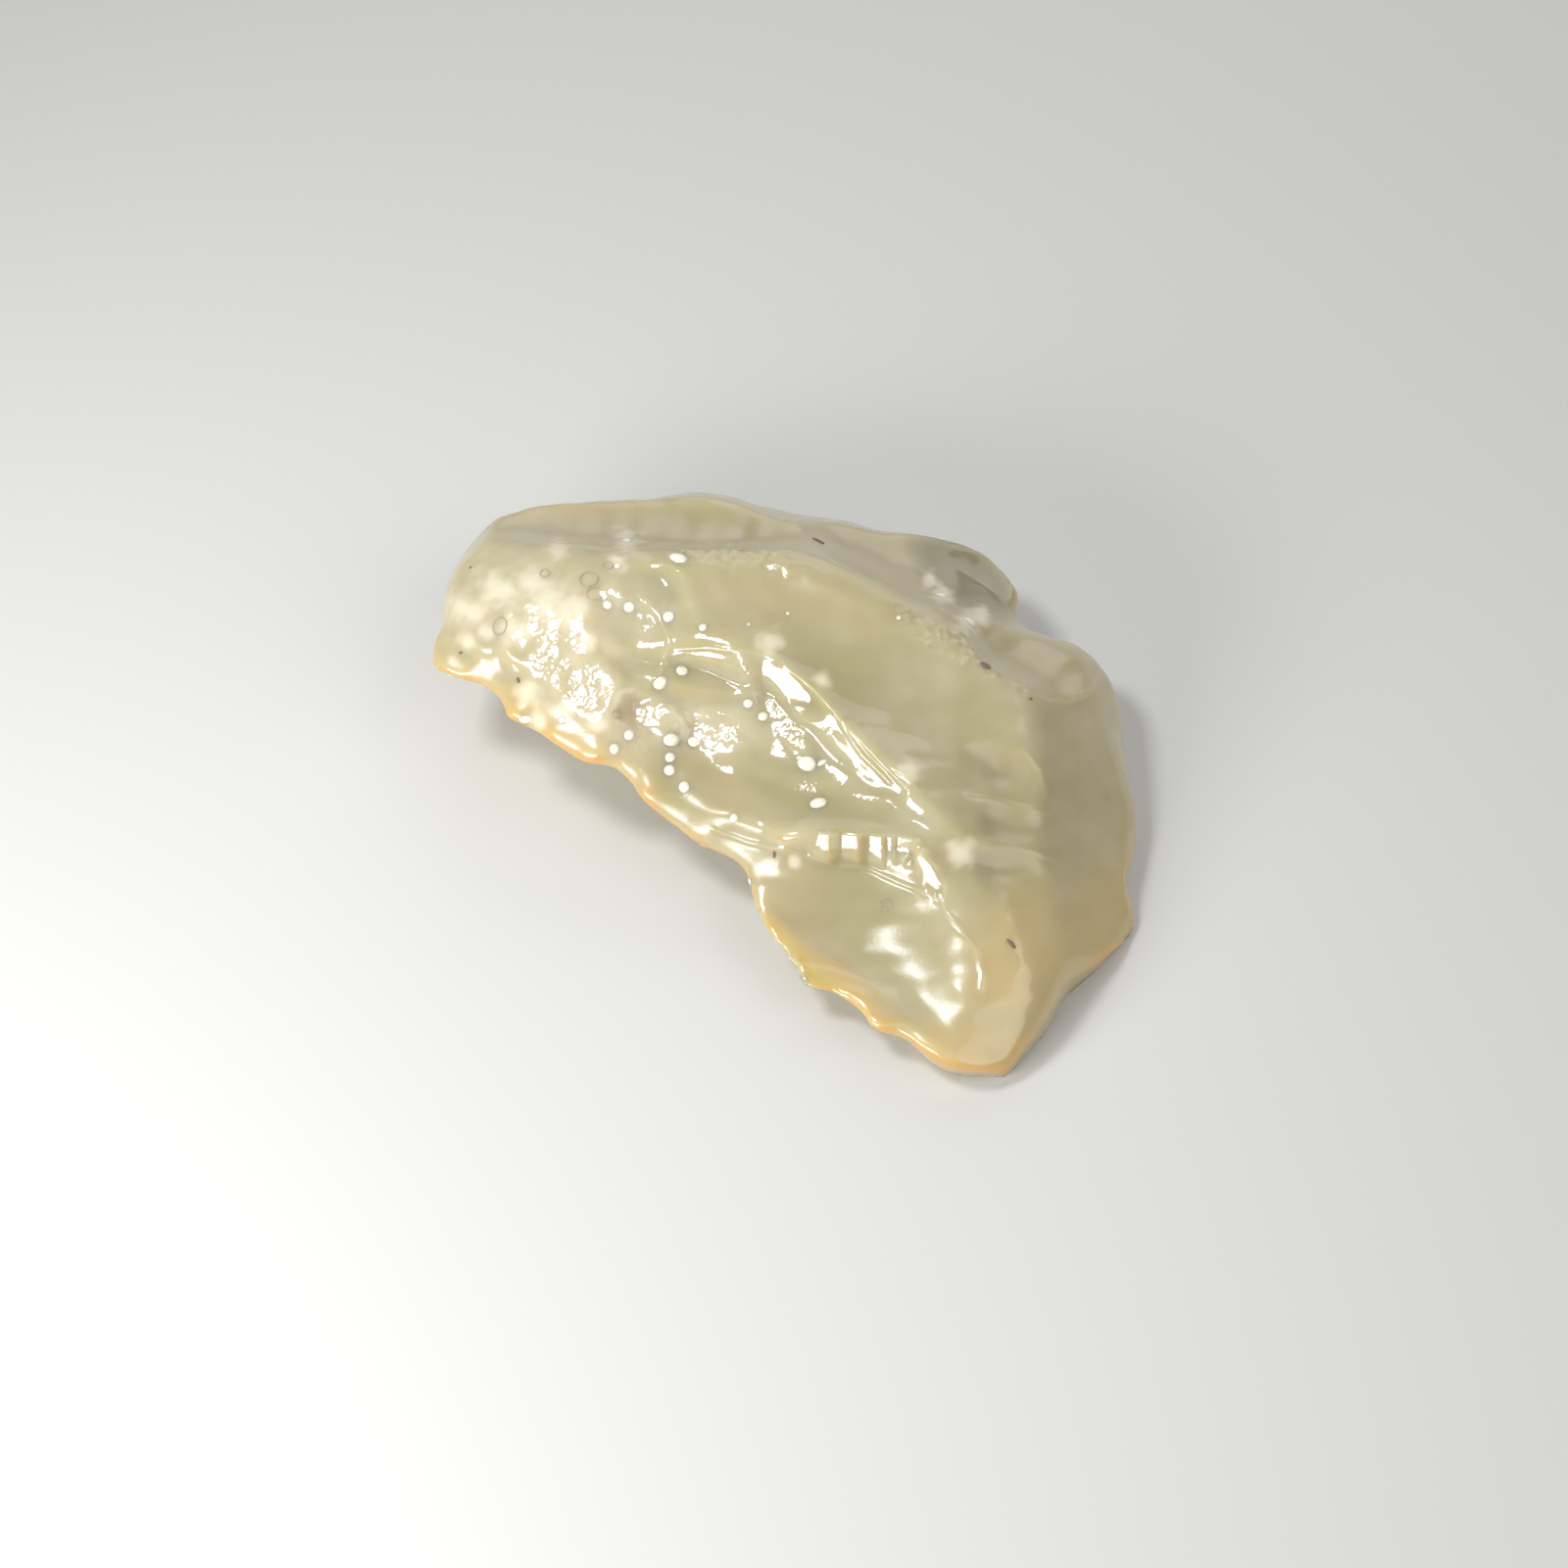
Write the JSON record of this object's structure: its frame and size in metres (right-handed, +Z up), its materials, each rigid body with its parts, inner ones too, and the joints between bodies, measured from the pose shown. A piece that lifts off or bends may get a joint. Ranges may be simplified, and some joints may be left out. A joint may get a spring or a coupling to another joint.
{
  "type": "raw libyan desert glass",
  "caption": "Raw flake of natural desert glass: one milky pale-yellow translucent stone with a thin chipped rim, two curved ledges and shell-shaped scars on top, lying on its flat broken base",
  "frame": {"origin": "middle of the footprint, on the flat base", "axes": "+Z up from the surface that the stone rests on, +X to the right and -Y towards the viewer as pictured"},
  "size_m": [0.0306, 0.0292, 0.0094],
  "materials": {
    "raw_glass": "glossy broken glass, milky, with white grains"
  },
  "bodies": {
    "root": {"desert_glass": "raw_glass"}
  },
  "joints": []
}
